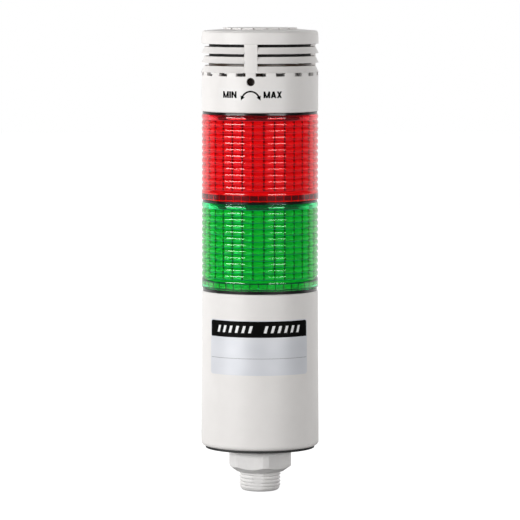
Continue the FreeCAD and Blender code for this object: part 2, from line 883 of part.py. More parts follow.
nodes.append(threaded_nipple())
nodes.append(mounting_nut())
nodes.append(mounting_gasket())
nodes.append(base_housing())
nodes.append(socket_ring("base_socket_ring", base_top, size("base_rim")))
base_board_top = base_top - size("skirt_depth")
nodes.append(contact_board("base_contact_board", base_board_top))
nodes.append(terminal_block(base_board_top - size("board_thickness")))
nodes.append(terminal_screws(base_board_top - size("board_thickness")))
module("green", green_low, green_top, size("base_rim"), base_board_top)
module("red", red_low, red_top, size("tier_rim"), green_top - size("skirt_depth"))
nodes.append(twist_collar("head_twist_collar", head_low, size("tier_rim")))
nodes.append(contact_pins("head_contact_pins", head_low, red_top - size("skirt_depth")))
for made in (
    head_housing(), louvre_cap(), sounder_board(), sounder(), board_screws(), trimmer_body(), trimmer_rotor(),
):
    nodes.append(turned(made, "head_turn"))
document.recompute()

broken = [
    thing.Name for thing in document.Objects
    if "Invalid" in thing.State or "Error" in thing.State
]
if broken:
    raise RuntimeError("objects that failed: %s" % broken)
for node in nodes:
    if node.Shape.isNull() or not node.Shape.isValid() or not node.Shape.Solids:
        raise RuntimeError("no valid solid in " + node.Label)

os.makedirs("parts", exist_ok=True)
for node in nodes:
    node.Shape.exportStep("parts/%s.step" % node.Label)
    print("%s: %d solids, %.1f mm3" % (node.Label, len(node.Shape.Solids), node.Shape.Volume))
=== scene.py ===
import json
import math

import bmesh
import bpy
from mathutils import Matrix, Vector


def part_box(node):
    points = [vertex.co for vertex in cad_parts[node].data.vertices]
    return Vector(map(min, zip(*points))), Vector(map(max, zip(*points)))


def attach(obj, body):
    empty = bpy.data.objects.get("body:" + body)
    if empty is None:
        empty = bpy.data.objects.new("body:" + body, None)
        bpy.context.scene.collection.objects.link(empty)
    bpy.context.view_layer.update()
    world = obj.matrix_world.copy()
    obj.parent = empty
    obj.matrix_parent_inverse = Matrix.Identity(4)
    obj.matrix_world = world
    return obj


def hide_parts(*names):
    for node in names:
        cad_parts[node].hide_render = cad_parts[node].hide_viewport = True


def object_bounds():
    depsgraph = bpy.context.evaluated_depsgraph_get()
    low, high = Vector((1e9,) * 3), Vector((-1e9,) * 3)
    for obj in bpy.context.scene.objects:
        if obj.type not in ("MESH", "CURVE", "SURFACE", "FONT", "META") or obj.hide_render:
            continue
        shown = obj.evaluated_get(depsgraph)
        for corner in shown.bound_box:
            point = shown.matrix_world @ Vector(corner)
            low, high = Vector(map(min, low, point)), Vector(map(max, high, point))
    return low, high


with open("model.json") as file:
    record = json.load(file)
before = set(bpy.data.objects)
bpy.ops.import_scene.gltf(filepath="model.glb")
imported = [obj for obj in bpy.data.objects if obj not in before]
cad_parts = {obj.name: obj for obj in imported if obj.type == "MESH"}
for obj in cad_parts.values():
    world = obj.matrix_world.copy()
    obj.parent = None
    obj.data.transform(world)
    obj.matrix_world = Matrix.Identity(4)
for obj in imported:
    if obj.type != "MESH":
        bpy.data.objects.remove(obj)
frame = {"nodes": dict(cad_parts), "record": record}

cad_low, cad_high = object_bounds()
nodes = frame["nodes"]

# A stack light with a green and a red tier and a sounder head, on a threaded nipple. The lenses,
# the thread, the label, the film and the prints are made here. The rest is the CAD's, dressed.

MM = 0.001
TURN = 2 * math.pi

# Where two faces meet at more than this, the edge between them stays sharp.
SHARP_ANGLE = math.radians(32)

# The two tones of a wandering colour: where one ends and the other starts, in noise from 0 to 1.
TONE_ENDS, TONE_STARTS = 0.35, 0.65

# Rays that feel for the edges that look rounded.
BEVEL_SAMPLES = 6

# Lens, in metres: beads outside, flutes and a key inside, a plain band at the foot.
LENS_IOR = 1.52
BEADS = 12
BEAD_DEPTH = 0.6 * MM
BEAD_FIRST = 1.35 * MM
BAND_HEIGHT = 5.5 * MM
LENS_WALL = 2.7 * MM
LENS_EDGE = 0.3 * MM
FLUTES = 32
FLUTE_DEPTH = 0.75 * MM
FLUTE_POWER = 6
KEY_WIDTH = 5.0 * MM
CLEAR_TOP = 2.6 * MM
BAND_GROOVES = 40
GROOVE_DEPTH = 0.5 * MM
GROOVE_HALF_ANGLE = math.radians(0.4)
GROOVE_LOW = 0.7 * MM
GROOVE_HIGH = 3.2 * MM
FIELD_LOW = 1.6 * MM
LINE_HIGH = 3.9 * MM
GROOVE_LEAD = 0.1 * MM
ROWS_PER_BEAD = 9

# Points of the inside wall above its foot, besides the dashes' ends: two of the clear top, and the
# flute's two ends.
POINTS_ABOVE_FOOT = 4

# Columns of points across a flute, from its middle at 0 to its border at 1.
HALF_FLUTE = (0.3, 0.52, 0.68, 0.78, 0.85, 0.92, 0.97)
FLUTE_PLACES = tuple(-place for place in HALF_FLUTE) + (0.0,) + HALF_FLUTE + (1.0,)

# Painted shade: dark dashes on the flutes' borders, for the dark that refraction shows there: how
# near the border, how much of each bead's height, and how far they stay below the clear top.
BORDER_FROM = 0.85
BORDER_SHARE = 0.84
DASH_END = 0.2 * MM

# Mounting nipple, with its thread and a flat at each of the mould's two partings.
NIPPLE_RADIUS = 10.65 * MM
NIPPLE_WALL = 3.45 * MM
NIPPLE_TIP_STEP = 2.35 * MM
FLANGE_LOW = 5.2 * MM
THREAD_PITCH = 25.4 / 14 * MM
THREAD_DEPTH = 0.75 * MM
THREAD_TOP = 1.0 * MM
THREAD_LEAD = 4.0 * MM
THREAD_CREST = 1.35
THREAD_FLANK = 3.0
THREAD_COLUMNS = 96
THREAD_ROWS = 8
PARTING_WIDTH = 4.3 * MM
PARTING_EDGE = 0.5 * MM
PARTING_DEPTH = THREAD_DEPTH * 0.85
PARTING_ANGLE = math.radians(-5.3)

# The base's drafted wall.
BASE_LOW, BASE_HIGH = (corner.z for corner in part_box("base_housing"))
BASE_TOP_RADIUS = 29.85 * MM
BASE_FOOT_RADIUS = 30.35 * MM

# Label on the base, with a black band, slanted bars on the band and a rule below it.
LABEL_LOW = 40.1 * MM
LABEL_HIGH = 68.3 * MM
LABEL_HALF_ANGLE = math.radians(54.4)
LABEL_CORNER = 1.6 * MM
LABEL_THICKNESS = 0.10 * MM
BAND_LOW = 59.5 * MM
BAND_INSET = 0.55 * MM
RULE_HEIGHT = 48.7 * MM
RULE_WIDTH = 0.25 * MM
BAR_HEIGHT = 3.6 * MM
BAR_WIDTH = 1.5 * MM
BAR_PITCH = 3.6 * MM
BAR_SLANT = math.radians(16)
BARS_PER_GROUP = 6
BAR_GROUP_SHIFT = 13.0 * MM
PRINT_LIFT = 0.05 * MM

# Film on the head, with the marks of the volume screw.
HEAD_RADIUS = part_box("head_housing")[1].y
HEAD_TURN = math.radians(-7.5)
FILM_LOW = 180.1 * MM
FILM_HIGH = 186.3 * MM
FILM_HALF_ANGLE = math.radians(35.9)
FILM_CORNER = 0.8 * MM
FILM_THICKNESS = 0.06 * MM
WORD_HEIGHT = 3.4 * MM
WORD_MIDDLE = 182.95 * MM
WORD_ANGLE = math.radians(21.75)
LETTER_WEIGHT = 0.28
LETTER_GAP = 0.08
ARROW_HALF_WIDTH = 4.2 * MM
ARROW_RISE = 2.7 * MM
ARROW_STROKE = 0.85 * MM
ARROW_HEAD = 2.3 * MM
ARROW_OVERLAP = 0.2 * MM
ARROW_STEPS = 16
ARROW_LOW = 181.9 * MM

# Sheets that lie on a round wall: columns, rows and points round a corner.
SHEET_COLUMNS = 120
SHEET_ROWS = 6
CORNER_POINTS = 8

# Camera, found from the photograph.
LENS_LENGTH = 256.15
SENSOR_WIDTH = 36
CAMERA_DISTANCE = 1.907
CAMERA_AZIMUTH = math.radians(1.7)
CAMERA_PITCH = math.radians(4.6)
LOOK_AT = Vector((0, 0, 0.0968))

# Studio: a floor, a white backdrop and large soft lamps.
FLOOR_REACH = 4.0
FLOOR_GLOW = 0.95
FLOOR_WHITE_FROM, FLOOR_WHITE_TO = 0.1, 0.5
BACKDROP_FROM, BACKDROP_TO = 0.45, 0.70
DIM_LIGHT = 0.02
LAMPS_AIM = Vector((0, 0, 0.1))

# Each lamp's direction from the front and upwards in degrees, its distance, width and height in
# metres, its power in watts, and whether a gloss shows it.
LAMPS = (
    ("key_left", -49, 7.5, 1.5, 1.15, 0.36, 16.7, True),
    ("fill_right", 36, 5.5, 1.5, 0.95, 0.26, 7.8, True),
    ("rim_left", -112, 8, 1.5, 0.9, 0.6, 9.4, False),
    ("rim_right", 108, 8, 1.5, 0.9, 0.6, 5.8, False),
    ("top", 180, 78, 1.3, 0.9, 0.9, 3.4, False),
)


def rotated(radius, angle, height):
    """A point at a radius and a height; the angle is from the front, -Y, towards +X."""
    return Vector((radius * math.sin(angle), -radius * math.cos(angle), height))


def add_object(name, mesh, body=None, stands_for=()):
    """An object in the scene, which rides on a body and may stand for nodes of the frame."""
    made = bpy.data.objects.new(name, mesh)
    bpy.context.scene.collection.objects.link(made)
    if body:
        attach(made, body)
    if stands_for:
        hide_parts(*stands_for)
    return made


def grid_mesh(name, columns, closed, material):
    """A mesh from columns of points, joined in quads. Closed, it joins up both ways into a ring."""
    mesh = bpy.data.meshes.new(name)
    count, rows = len(columns), len(columns[0])
    points = [p for column in columns for p in column]
    faces = []
    last_column = count if closed else count - 1
    last_row = rows if closed else rows - 1
    for i in range(last_column):
        here, there = i * rows, (i + 1) % count * rows
        for j in range(last_row):
            after = (j + 1) % rows
            faces.append((here + j, there + j, there + after, here + after))
    mesh.from_pydata(points, [], faces)
    work = bmesh.new()
    work.from_mesh(mesh)
    bmesh.ops.recalc_face_normals(work, faces=work.faces)
    work.to_mesh(mesh)
    work.free()
    mesh.shade_smooth()
    mesh.set_sharp_from_angle(angle=SHARP_ANGLE)
    mesh.materials.append(material)
    return mesh


def new_material(name, colour, roughness, **inputs):
    """A material with the main shader's inputs set; an input's name has _ for each space."""
    made = bpy.data.materials.new(name)
    made.use_nodes = True
    shader = made.node_tree.nodes["Principled BSDF"]
    shader.inputs["Base Color"].default_value = (*colour, 1)
    shader.inputs["Roughness"].default_value = roughness
    for key, value in inputs.items():
        shader.inputs[key.replace("_", " ")].default_value = value
    return made


def add_node(owner, kind, **values):
    """A node in a material or the world, with its inputs set by name."""
    node = owner.node_tree.nodes.new("ShaderNode" + kind)
    for key, value in values.items():
        node.inputs[key.replace("_", " ")].default_value = value
    return node


def shader_of(material):
    """The material's main shader."""
    return material.node_tree.nodes["Principled BSDF"]


def link(owner, from_socket, to_socket):
    """A link between two nodes of a material or the world."""
    owner.node_tree.links.new(from_socket, to_socket)


def noise(material, size, detail=3.0):
    """Noise whose spots are about that size, in metres, fixed to the object."""
    place = add_node(material, "TexCoord")
    made = add_node(material, "TexNoise", Scale=1 / size, Detail=detail, Roughness=0.55)
    link(material, place.outputs["Object"], made.inputs["Vector"])
    return made


def vary_colour(material, first, second, size, detail=3.0):
    """The colour wanders between two close tones."""
    spots = noise(material, size, detail)
    ramp = add_node(material, "ValToRGB")
    tones = ((TONE_ENDS, first), (TONE_STARTS, second))
    for element, (position, colour) in zip(ramp.color_ramp.elements, tones):
        element.position = position
        element.color = (*colour, 1)
    link(material, spots.outputs["Fac"], ramp.inputs["Fac"])
    link(material, ramp.outputs["Color"], shader_of(material).inputs["Base Color"])


def vary_roughness(material, low, high, size):
    """The roughness wanders between two values."""
    spots = noise(material, size)
    spread = add_node(material, "MapRange", To_Min=low, To_Max=high)
    link(material, spots.outputs["Fac"], spread.inputs["Value"])
    link(material, spread.outputs["Result"], shader_of(material).inputs["Roughness"])


def add_grain(material, size, height, strength=1.0, edge=0.0):
    """A fine moulded texture, and edges that look rounded over a radius."""
    spots = noise(material, size)
    bump = add_node(material, "Bump", Strength=strength, Distance=height)
    link(material, spots.outputs["Fac"], bump.inputs["Height"])
    if edge:
        rounded = add_node(material, "Bevel", Radius=edge)
        rounded.samples = BEVEL_SAMPLES
        link(material, rounded.outputs["Normal"], bump.inputs["Normal"])
    link(material, bump.outputs["Normal"], shader_of(material).inputs["Normal"])


# Materials.
ivory = new_material("ivory_plastic", (0.86, 0.835, 0.815), 0.42, Specular_IOR_Level=0.45)
vary_colour(ivory, (0.85, 0.825, 0.805), (0.87, 0.845, 0.825), 9 * MM)
vary_roughness(ivory, 0.36, 0.47, 4 * MM)
add_grain(ivory, 0.45 * MM, 0.012 * MM, 0.6, edge=0.35 * MM)

nylon = new_material("grey_nylon", (0.80, 0.785, 0.775), 0.5, Subsurface_Weight=0.15)
shader_of(nylon).inputs["Subsurface Radius"].default_value = (2 * MM, 2 * MM, 2 * MM)
vary_colour(nylon, (0.78, 0.765, 0.755), (0.82, 0.805, 0.795), 5 * MM)
vary_roughness(nylon, 0.42, 0.58, 2 * MM)
add_grain(nylon, 0.3 * MM, 0.02 * MM, 0.6, edge=0.3 * MM)

rubber = new_material("black_rubber", (0.018, 0.018, 0.019), 0.6)
vary_colour(rubber, (0.013, 0.013, 0.014), (0.03, 0.03, 0.031), 1.5 * MM)
vary_roughness(rubber, 0.5, 0.72, 1 * MM)
add_grain(rubber, 0.25 * MM, 0.02 * MM, 0.8, edge=0.25 * MM)

black = new_material("black_plastic", (0.006, 0.006, 0.0065), 0.15)
vary_colour(black, (0.005, 0.005, 0.0055), (0.009, 0.009, 0.0095), 3 * MM)
vary_roughness(black, 0.11, 0.18, 2 * MM)
add_grain(black, 0.4 * MM, 0.004 * MM, 0.3, edge=0.2 * MM)

white = new_material("white_plastic", (0.86, 0.86, 0.85), 0.4)
vary_colour(white, (0.84, 0.84, 0.83), (0.88, 0.88, 0.87), 6 * MM)
vary_roughness(white, 0.34, 0.46, 3 * MM)
add_grain(white, 0.4 * MM, 0.01 * MM, 0.5)

white_board = new_material("white_board", (0.87, 0.88, 0.86), 0.4)
vary_colour(white_board, (0.85, 0.86, 0.84), (0.89, 0.90, 0.88), 3 * MM)
vary_roughness(white_board, 0.32, 0.48, 2 * MM)

# Painted shade: the boards' dark brown is darkened further, for the shade the sounder's board lies
# in behind the head's slots.
shade_darkened_board = new_material("circuit_board", (0.035, 0.018, 0.007), 0.35)
vary_colour(shade_darkened_board, (0.030, 0.015, 0.006), (0.042, 0.022, 0.009), 2.5 * MM)
vary_roughness(shade_darkened_board, 0.28, 0.42, 1.5 * MM)
add_grain(shade_darkened_board, 0.5 * MM, 0.01 * MM, 0.5)

diode = new_material("led", (0.92, 0.90, 0.70), 0.2)
vary_colour(diode, (0.90, 0.88, 0.66), (0.94, 0.93, 0.78), 1 * MM)
vary_roughness(diode, 0.15, 0.28, 1 * MM)

brass = new_material("brass", (0.80, 0.60, 0.26), 0.3, Metallic=1.0)
vary_roughness(brass, 0.22, 0.4, 0.8 * MM)
vary_colour(brass, (0.76, 0.56, 0.23), (0.84, 0.65, 0.30), 1.5 * MM)

steel = new_material("steel", (0.60, 0.61, 0.62), 0.35, Metallic=1.0)
vary_roughness(steel, 0.26, 0.44, 0.8 * MM)
vary_colour(steel, (0.56, 0.57, 0.58), (0.65, 0.66, 0.67), 1.5 * MM)

terminal = new_material("terminal_plastic", (0.10, 0.11, 0.12), 0.45)
vary_colour(terminal, (0.09, 0.10, 0.11), (0.12, 0.13, 0.14), 2 * MM)
vary_roughness(terminal, 0.38, 0.55, 1.5 * MM)

trimmer = new_material("trimmer_plastic", (0.030, 0.014, 0.008), 0.4)
vary_colour(trimmer, (0.024, 0.011, 0.007), (0.045, 0.022, 0.013), 1 * MM)
vary_roughness(trimmer, 0.32, 0.5, 1 * MM)


def lens_materials(name, tint, deep, dark, pale):
    """A lens's surfaces: clear skin, hazy inside, clear inside, a painted dark (painted shade on
    the flutes' borders, and the foot's dark fields) and a painted reflection in the beads' valleys,
    in the order of the numbers below."""
    skin = new_material(name, tint, 0.03, Transmission_Weight=0.98, IOR=LENS_IOR,
                        Specular_IOR_Level=0.75)
    vary_roughness(skin, 0.045, 0.075, 2 * MM)
    hazy = new_material(name + "_hazy", deep, 0.25, Transmission_Weight=0.18, IOR=LENS_IOR)
    vary_roughness(hazy, 0.2, 0.3, 2 * MM)
    clear = new_material(name + "_inside", deep, 0.05, Transmission_Weight=0.97, IOR=LENS_IOR)
    vary_roughness(clear, 0.03, 0.07, 2 * MM)
    # Painted dark: painted shade on the flutes' borders and on the green foot's grooves, and the
    # foot's dark fields.
    border = new_material(name + "_painted_dark", dark, 0.3, IOR=LENS_IOR)
    vary_roughness(border, 0.25, 0.35, 2 * MM)
    # Painted reflection: a pale band, less clear than the skin, along each bead's valley, for the
    # bright reflection seen there.
    valley = new_material(name + "_valley_reflection", pale, 0.3, Transmission_Weight=0.35, IOR=LENS_IOR)
    vary_roughness(valley, 0.25, 0.35, 2 * MM)
    return skin, hazy, clear, border, valley


# The fourth is the painted dark, the fifth the painted reflection in the valleys.
SKIN, HAZY, CLEAR, PAINTED_DARK, VALLEY_REFLECTION = range(5)

# Each lens's dark colour is for the painted shade and the foot's dark fields, its pale colour for
# the painted reflection in the valleys.
RED = lens_materials("red_lens", tint=(0.97, 0.05, 0.07), deep=(0.82, 0.001, 0.002),
                     dark=(0.02, 0.0005, 0.0005), pale=(0.85, 0.008, 0.035))
GREEN = lens_materials("green_lens", tint=(0.04, 0.88, 0.30), deep=(0.0004, 0.50, 0.013),
                       dark=(0.0005, 0.012, 0.002), pale=(0.003, 0.38, 0.15))

by_slot = {
    "ivory_plastic": ivory, "grey_nylon": nylon, "black_rubber": rubber, "black_plastic": black,
    "white_plastic": white, "circuit_board": shade_darkened_board, "white_board": white_board,
    "terminal_plastic": terminal, "trimmer_plastic": trimmer, "led": diode, "brass": brass,
    "steel": steel, "red_lens": RED[SKIN], "green_lens": GREEN[SKIN],
}
for row in frame["record"]["subparts"]:
    nodes[row["node"]].data.materials[0] = by_slot[row["material_slot"]]

# Nodes that look unlike the rest of their slot: the pale boards that show through the clear tops,
# and the sounder behind the slots.
contact_board = new_material("contact_board", (0.62, 0.52, 0.34), 0.4)
vary_colour(contact_board, (0.60, 0.50, 0.32), (0.64, 0.54, 0.36), 3 * MM)
vary_roughness(contact_board, 0.32, 0.48, 2 * MM)
for name in ("green_contact_board", "red_contact_board", "base_contact_board"):
    nodes[name].data.materials[0] = contact_board
matte_black = new_material("matte_black_plastic", (0.006, 0.006, 0.006), 0.6,
                           Specular_IOR_Level=0.2)
vary_colour(matte_black, (0.005, 0.005, 0.005), (0.008, 0.008, 0.008), 3 * MM)
vary_roughness(matte_black, 0.52, 0.68, 2 * MM)
nodes["sounder"].data.materials[0] = matte_black


def bead_points(valley, low, high, cut, start=0.0):
    """Points up a round bead between two valleys, to the height where it is cut. A start of 0.5
    gives its upper half."""
    half = (high - low) / 2
    arc = (half * half + BEAD_DEPTH * BEAD_DEPTH) / (2 * BEAD_DEPTH)
    points = []
    for k in range(ROWS_PER_BEAD):
        height = low + (high - low) * (start + (1 - start) * k / ROWS_PER_BEAD)
        if height >= cut:
            break
        off = height - (low + high) / 2
        bulge = math.sqrt(max(arc * arc - off * off, 0)) - (arc - BEAD_DEPTH)
        points.append((valley + bulge, height))
    return points


def flute_at(angle):
    """The flute an angle falls in, and the place across it: 0 in its middle, 1 at its border."""
    share = angle / TURN * FLUTES
    return abs(round(share)) % FLUTES, abs(2 * (share - round(share)))


def flute_depth_at(angle, bore):
    """How far the inside wall lies beyond the bore. The key is a wide flat groove at the front."""
    number, place = flute_at(angle)
    if number == 0 and place * math.pi / FLUTES * bore < KEY_WIDTH / 2:
        return FLUTE_DEPTH
    return FLUTE_DEPTH * place ** FLUTE_POWER


def from_groove(angle):
    """The angle to the middle of the nearest groove in the foot."""
    pitch = TURN / BAND_GROOVES
    return abs(angle / pitch - round(angle / pitch)) * pitch


def groove_depth_at(angle):
    """A narrow upright groove between two fields of the foot's inside."""
    return GROOVE_DEPTH * max(0.0, 1 - from_groove(angle) / GROOVE_HALF_ANGLE)


def lens_angles():
    """Columns round the lens, with extra ones at the borders and the grooves. Those that fall
    together are one."""
    pitch = TURN / FLUTES
    places = [(k + place / 2) * pitch for k in range(FLUTES) for place in FLUTE_PLACES]
    for k in range(BAND_GROOVES):
        places += [TURN * k / BAND_GROOVES + side * GROOVE_HALF_ANGLE for side in (-1, 0, 1)]
    return sorted({round(place % TURN, 7) for place in places})


# What each step down the foot's inside is made of, between the uprights and on them. Behind the
# clear parts stands the black ring. In the red foot the fields between the uprights are painted
# dark, for the black ring seen behind them.
RED_FOOT = (
    (HAZY, HAZY), (HAZY, HAZY), (PAINTED_DARK, HAZY), (PAINTED_DARK, HAZY),
    (PAINTED_DARK, HAZY), (PAINTED_DARK, HAZY), (HAZY, HAZY), (HAZY, HAZY),
)
# In the green foot the uprights are painted shade of the grooves, the second step is a painted
# shadow line for the gap above the collar, and the two lowest steps are painted dark.
GREEN_FOOT = (
    (HAZY, HAZY), (PAINTED_DARK, PAINTED_DARK), (HAZY, PAINTED_DARK), (HAZY, PAINTED_DARK),
    (CLEAR, CLEAR), (CLEAR, CLEAR), (PAINTED_DARK, PAINTED_DARK), (PAINTED_DARK, PAINTED_DARK),
)


def inside_points(signed, bore, foot, band_top, top, dashes):
    """Points down the lens's inside at an angle from the front: a clear top, flutes with a point at
    each end of a dash, and a foot with upright grooves."""
    flute = bore + flute_depth_at(signed, bore)
    groove = bore + groove_depth_at(signed)
    points = [(bore, top), (bore, top - CLEAR_TOP)]
    points += [(flute, z) for z in [top - CLEAR_TOP] + dashes + [band_top]]
    points += [(bore, band_top), (bore, foot + LINE_HIGH), (bore, foot + GROOVE_HIGH)]
    points += [(groove, foot + GROOVE_HIGH - GROOVE_LEAD), (groove, foot + FIELD_LOW)]
    points += [(groove, foot + GROOVE_LOW + GROOVE_LEAD), (bore, foot + GROOVE_LOW)]
    points += [(bore, foot + LENS_EDGE), (bore + LENS_EDGE, foot)]
    return points


def build_lens(name, node, body, foot_steps, materials):
    """One closed shell with beads outside, a painted reflection in their valleys, and flutes,
    dashes of painted shade and a foot inside.
    """
    low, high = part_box(node)
    radius, foot, top = high.x, low.z, high.z
    bore = radius - LENS_WALL
    band_top = foot + BAND_HEIGHT
    pitch = (top - BEAD_FIRST - band_top) / (BEADS - 0.5)
    valley = radius - BEAD_DEPTH
    outside = [(radius - LENS_EDGE, foot), (radius, foot + LENS_EDGE)]
    outside += bead_points(valley, band_top - pitch, band_top, top, start=0.5)
    valleys, dashes = set(), []
    for k in range(BEADS):
        bead_low = band_top + pitch * k
        valleys.add(len(outside))
        outside += bead_points(valley, bead_low, bead_low + pitch, top)
        dashes += [bead_low + pitch * BORDER_SHARE / 2, bead_low + pitch * (1 - BORDER_SHARE / 2)]
    dashes = sorted((z for z in dashes if z < top - CLEAR_TOP - DASH_END), reverse=True)
    outside.append((outside[-1][0], top))
    angles = lens_angles()
    columns = []
    for angle in angles:
        signed = (angle + math.pi) % TURN - math.pi
        inside = inside_points(signed, bore, foot, band_top, top, dashes)
        columns.append([rotated(r, angle, z) for r, z in outside + inside])
    mesh = grid_mesh(name, columns, True, materials[SKIN])
    for material in materials[1:]:
        mesh.materials.append(material)

    # Faces come column by column, each from the foot up the outside and down the inside.
    rows = len(columns[0])
    for face in mesh.polygons:
        i, j = divmod(face.index, rows)
        after = angles[i + 1] if i + 1 < len(angles) else TURN
        middle = (angles[i] + after) / 2
        step = j - len(outside)
        foot_step = step - len(dashes) - POINTS_ABOVE_FOOT
        if step < 0:
            # The faces just above each bead's valley get the painted reflection.
            face.material_index = VALLEY_REFLECTION if j in valleys else SKIN
        elif step == 0:
            face.material_index = CLEAR
        elif foot_step < 0:
            height = (columns[0][j].z + columns[0][(j + 1) % rows].z) / 2
            from_valley = abs((height - band_top) / pitch - round((height - band_top) / pitch))
            on_border = flute_at(middle)[1] > BORDER_FROM
            # Painted shade: a face on a flute's border is dark but for a gap at each bead's crest,
            # for the dark that refraction shows there.
            dark = on_border and from_valley < BORDER_SHARE / 2 and step > 1
            face.material_index = PAINTED_DARK if dark else HAZY
        elif foot_step < len(foot_steps):
            on_upright = from_groove(middle) < GROOVE_HALF_ANGLE
            face.material_index = foot_steps[foot_step][on_upright]
    add_object(name, mesh, body, (node,))


build_lens("green_lens_shell", "green_lens", "green", GREEN_FOOT, GREEN)
build_lens("red_lens_shell", "red_lens", "red", RED_FOOT, RED)


def thread_radius(angle, height, tip):
    """The thread's radius at an angle and a height: ridge and valley, rounded off towards the tip,
    with a flat at each parting."""
    turn = (height / THREAD_PITCH + angle / TURN) % 1.0
    ridge = min(1.0, max(0.0, THREAD_CREST - abs(turn - 0.5) * THREAD_FLANK))
    radius = NIPPLE_RADIUS - THREAD_DEPTH * (1 - ridge)
    left = max(0.0, 1 - (height - tip) / THREAD_LEAD)
    radius = min(radius, NIPPLE_RADIUS - NIPPLE_TIP_STEP * (1 - math.sqrt(1 - left * left)))
    for parting in (PARTING_ANGLE, PARTING_ANGLE + math.pi):
        off = (angle - parting + math.pi) % TURN - math.pi
        away = abs(off) * NIPPLE_RADIUS - PARTING_WIDTH / 2
        if away < PARTING_EDGE:
            share = min(1.0, max(0.0, -away / PARTING_EDGE + 1))
            radius = radius + (min(radius, NIPPLE_RADIUS - PARTING_DEPTH) - radius) * share
    return radius


def build_nipple():
    """The mounting tube with its thread outside, and the flange inside the base."""
    low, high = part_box("threaded_nipple")
    bore = NIPPLE_RADIUS - NIPPLE_WALL
    flange, tip = high.x, low.z
    rows = int((THREAD_TOP - tip) / THREAD_PITCH * THREAD_ROWS)
    columns = []
    for i in range(THREAD_COLUMNS):
        angle = TURN * i / THREAD_COLUMNS
        column = [(bore, tip), (NIPPLE_RADIUS - NIPPLE_TIP_STEP, tip)]
        for j in range(1, rows):
            height = tip + (THREAD_TOP - tip) * j / rows
            column.append((thread_radius(angle, height, tip), height))
        column += [(NIPPLE_RADIUS, THREAD_TOP), (NIPPLE_RADIUS, FLANGE_LOW), (flange, FLANGE_LOW)]
        column += [(flange, high.z), (bore, high.z)]
        columns.append([rotated(r, angle, z) for r, z in column])
    mesh = grid_mesh("nipple_thread", columns, True, nylon)
    add_object("nipple_thread", mesh, "base", ("threaded_nipple",))


build_nipple()


def base_radius(height):
    """Radius of the base's drafted wall at a height."""
    share = (BASE_HIGH - height) / (BASE_HIGH - BASE_LOW)
    return BASE_TOP_RADIUS + (BASE_FOOT_RADIUS - BASE_TOP_RADIUS) * share


def film_face(height):
    """Radius of the film's face, which is the same at every height."""
    return HEAD_RADIUS + FILM_THICKNESS


def lifted(radius_at, lift):
    """A face that lies over another one."""
    return lambda height: radius_at(height) + lift


def wrapped_sheet(name, half_angle, low, high, corner_low, corner_high,
                  radius_at, turn, material, body):
    """A thin sheet on a round wall, with rounded corners at its foot, its top or both."""
    middle = radius_at((low + high) / 2)
    half = half_angle * middle
    places = [-half + 2 * half * k / SHEET_COLUMNS for k in range(SHEET_COLUMNS + 1)]
    corner = max(corner_low, corner_high)
    if corner:
        quarter = [math.radians(90) * k / CORNER_POINTS for k in range(1, CORNER_POINTS)]
        arc = [corner * (1 - math.cos(angle)) for angle in quarter]
        places += [half - a for a in arc] + [a - half for a in arc]
    columns = []
    for place in sorted(places):
        edge = half - abs(place)
        drop = {}
        for end, size in (("low", corner_low), ("high", corner_high)):
            inside = max(size - edge, 0)
            drop[end] = size - math.sqrt(max(size * size - inside * inside, 0))
        column = []
        for j in range(SHEET_ROWS + 1):
            z = low + drop["low"] + (high - drop["high"] - low - drop["low"]) * j / SHEET_ROWS
            column.append(rotated(radius_at(z), turn + place / middle, z))
        columns.append(column)
    add_object(name, grid_mesh(name, columns, False, material), body)


# Sheet and ink materials.
silver = new_material("label_silver", (0.74, 0.75, 0.79), 0.45, Metallic=0.12)
vary_colour(silver, (0.72, 0.735, 0.775), (0.77, 0.78, 0.82), 14 * MM, 1.0)
vary_roughness(silver, 0.38, 0.5, 2 * MM)
add_grain(silver, 0.2 * MM, 0.004 * MM, 0.5)
ink = new_material("black_ink", (0.002, 0.002, 0.002), 0.5, Specular_IOR_Level=0.05)
vary_colour(ink, (0.0015, 0.0015, 0.0015), (0.003, 0.003, 0.003), 2 * MM)
vary_roughness(ink, 0.44, 0.56, 1 * MM)
white_ink = new_material("white_ink", (0.88, 0.88, 0.88), 0.4)
vary_colour(white_ink, (0.86, 0.86, 0.86), (0.91, 0.91, 0.91), 1 * MM)
grey_ink = new_material("grey_ink", (0.35, 0.36, 0.38), 0.4)
vary_colour(grey_ink, (0.32, 0.33, 0.35), (0.40, 0.41, 0.43), 1 * MM)
film = new_material("clear_film", (0.86, 0.84, 0.825), 0.38, Specular_IOR_Level=0.45)
vary_colour(film, (0.85, 0.83, 0.815), (0.87, 0.85, 0.835), 8 * MM)
vary_roughness(film, 0.32, 0.44, 2 * MM)

# The label. Each print lies a little over what it is printed on.
label_face = lifted(base_radius, LABEL_THICKNESS)
wrapped_sheet("label", LABEL_HALF_ANGLE, LABEL_LOW, LABEL_HIGH, LABEL_CORNER, LABEL_CORNER,
              label_face, 0.0, silver, "base")
label_print = lifted(label_face, PRINT_LIFT)
band_half = LABEL_HALF_ANGLE - BAND_INSET / base_radius(BAND_LOW)
band_high = LABEL_HIGH - BAND_INSET
wrapped_sheet("label_band", band_half, BAND_LOW, band_high, 0.0, LABEL_CORNER - BAND_INSET / 2,
              label_print, 0.0, ink, "base")
rule_low = RULE_HEIGHT - RULE_WIDTH / 2
wrapped_sheet("label_rule", band_half, rule_low, rule_low + RULE_WIDTH, 0.0, 0.0,
              label_print, 0.0, grey_ink, "base")


